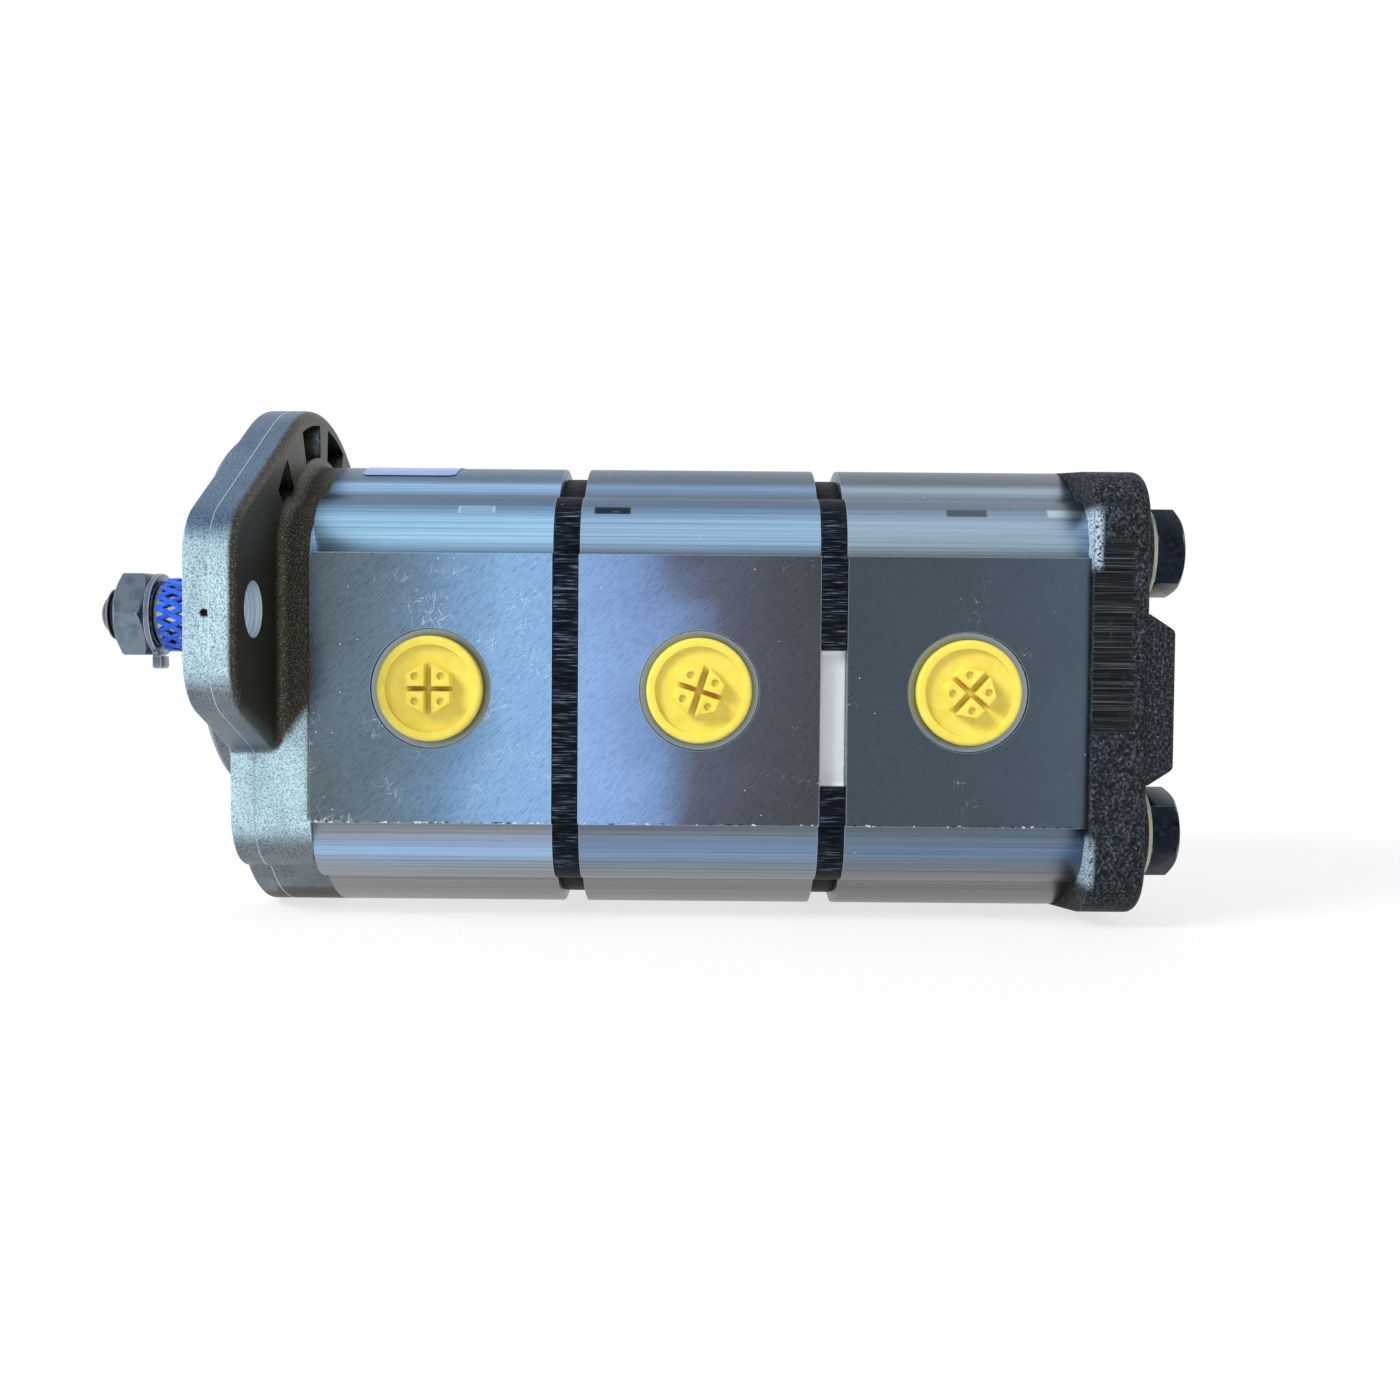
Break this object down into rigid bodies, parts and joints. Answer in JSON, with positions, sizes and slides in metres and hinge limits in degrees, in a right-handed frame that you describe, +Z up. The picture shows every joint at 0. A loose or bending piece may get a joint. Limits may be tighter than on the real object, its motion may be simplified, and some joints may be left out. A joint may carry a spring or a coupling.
{
  "type": "hydraulic gear pump",
  "caption": "In-line gear pump: flange with pilot and tapered shaft, extruded casings with plugged side ports, plates between them, and a rear cover held by long bolts.",
  "frame": {"origin": "where the drive shaft's axis crosses the flange's mounting face", "axes": "+X back along the drive shaft, from the flange to the rear cover; +Z up, from the driven gears to the drive shaft; the outlets face -Y"},
  "size_m": [0.2442, 0.1294, 0.1137],
  "materials": {
    "sand_cast_aluminium": "sandy cast",
    "extruded_aluminium": "satin, milled pads",
    "block_aluminium": "machined",
    "black_casting": "pebbly, blackened",
    "gear_steel": "ground",
    "spring_steel": "phosphated",
    "bright_zinc": "zinc plated",
    "yellow_zinc": "yellow zinc plated",
    "black_bolt_steel": "black oxide",
    "bush_bronze": "machined",
    "seal_rubber": "matte",
    "backup_plastic": "matte",
    "yellow_plastic": "satin moulded",
    "blue_net": "soft moulded",
    "label_film": "bare film"
  },
  "bodies": {
    "housing": {"front_cover": "sand_cast_aluminium", "rear_cover": "black_casting", "shaft_seal": "seal_rubber", "seal_snap_ring": "spring_steel", "dowel_pins": "gear_steel", "through_bolts": "black_bolt_steel", "bolt_washers": "yellow_zinc", "label": "label_film", "intermediate_plate_1": "black_casting", "intermediate_plate_2": "black_casting", "pump_body_1": "extruded_aluminium", "body_rings_1": "seal_rubber", "front_bearing_block_1": "block_aluminium", "rear_bearing_block_1": "block_aluminium", "front_bushes_1": "bush_bronze", "rear_bushes_1": "bush_bronze", "pressure_seals_1": "seal_rubber", "backup_rings_1": "backup_plastic", "pump_body_2": "extruded_aluminium", "body_rings_2": "seal_rubber", "front_bearing_block_2": "block_aluminium", "rear_bearing_block_2": "block_aluminium", "front_bushes_2": "bush_bronze", "rear_bushes_2": "bush_bronze", "pressure_seals_2": "seal_rubber", "backup_rings_2": "backup_plastic", "pump_body_3": "extruded_aluminium", "body_rings_3": "seal_rubber", "front_bearing_block_3": "block_aluminium", "rear_bearing_block_3": "block_aluminium", "front_bushes_3": "bush_bronze", "rear_bushes_3": "bush_bronze", "pressure_seals_3": "seal_rubber", "backup_rings_3": "backup_plastic"},
    "drive_line": {"drive_shaft": "gear_steel", "shaft_key": "gear_steel", "tab_washer": "bright_zinc", "shaft_nut": "bright_zinc", "shaft_net": "blue_net", "coupling_1": "gear_steel", "drive_gear_2": "gear_steel", "coupling_2": "gear_steel", "drive_gear_3": "gear_steel"},
    "driven_1": {"driven_gear_1": "gear_steel"},
    "outlet_plug_body_1": {"outlet_plug_1": "yellow_plastic"},
    "inlet_plug_body_1": {"inlet_plug_1": "yellow_plastic"},
    "driven_2": {"driven_gear_2": "gear_steel"},
    "outlet_plug_body_2": {"outlet_plug_2": "yellow_plastic"},
    "inlet_plug_body_2": {"inlet_plug_2": "yellow_plastic"},
    "driven_3": {"driven_gear_3": "gear_steel"},
    "outlet_plug_body_3": {"outlet_plug_3": "yellow_plastic"},
    "inlet_plug_body_3": {"inlet_plug_3": "yellow_plastic"}
  },
  "joints": [
    {"name": "drive_turn", "type": "hinge", "parent": "housing", "child": "drive_line", "pos_m": [0, 0, 0], "axis": [1, 0, 0], "continuous": true},
    {"name": "driven_turn_1", "type": "hinge", "parent": "housing", "child": "driven_1", "pos_m": [0.0425, 0, -0.03175], "axis": [1, 0, 0], "continuous": true},
    {"name": "driven_turn_2", "type": "hinge", "parent": "housing", "child": "driven_2", "pos_m": [0.099, 0, -0.03175], "axis": [1, 0, 0], "continuous": true},
    {"name": "driven_turn_3", "type": "hinge", "parent": "housing", "child": "driven_3", "pos_m": [0.1555, 0, -0.03175], "axis": [1, 0, 0], "continuous": true},
    {"name": "outlet_plug_pull_1", "type": "slide", "parent": "housing", "child": "outlet_plug_body_1", "axis": [0, -1, 0], "range_m": [0, 0.02]},
    {"name": "inlet_plug_pull_1", "type": "slide", "parent": "housing", "child": "inlet_plug_body_1", "axis": [0, 1, 0], "range_m": [0, 0.02]},
    {"name": "outlet_plug_pull_2", "type": "slide", "parent": "housing", "child": "outlet_plug_body_2", "axis": [0, -1, 0], "range_m": [0, 0.02]},
    {"name": "inlet_plug_pull_2", "type": "slide", "parent": "housing", "child": "inlet_plug_body_2", "axis": [0, 1, 0], "range_m": [0, 0.02]},
    {"name": "outlet_plug_pull_3", "type": "slide", "parent": "housing", "child": "outlet_plug_body_3", "axis": [0, -1, 0], "range_m": [0, 0.02]},
    {"name": "inlet_plug_pull_3", "type": "slide", "parent": "housing", "child": "inlet_plug_body_3", "axis": [0, 1, 0], "range_m": [0, 0.02]}
  ],
  "couplings": [
    {"joint": "driven_turn_1", "follows": "drive_turn", "ratio": -1},
    {"joint": "driven_turn_2", "follows": "drive_turn", "ratio": -1},
    {"joint": "driven_turn_3", "follows": "drive_turn", "ratio": -1}
  ]
}
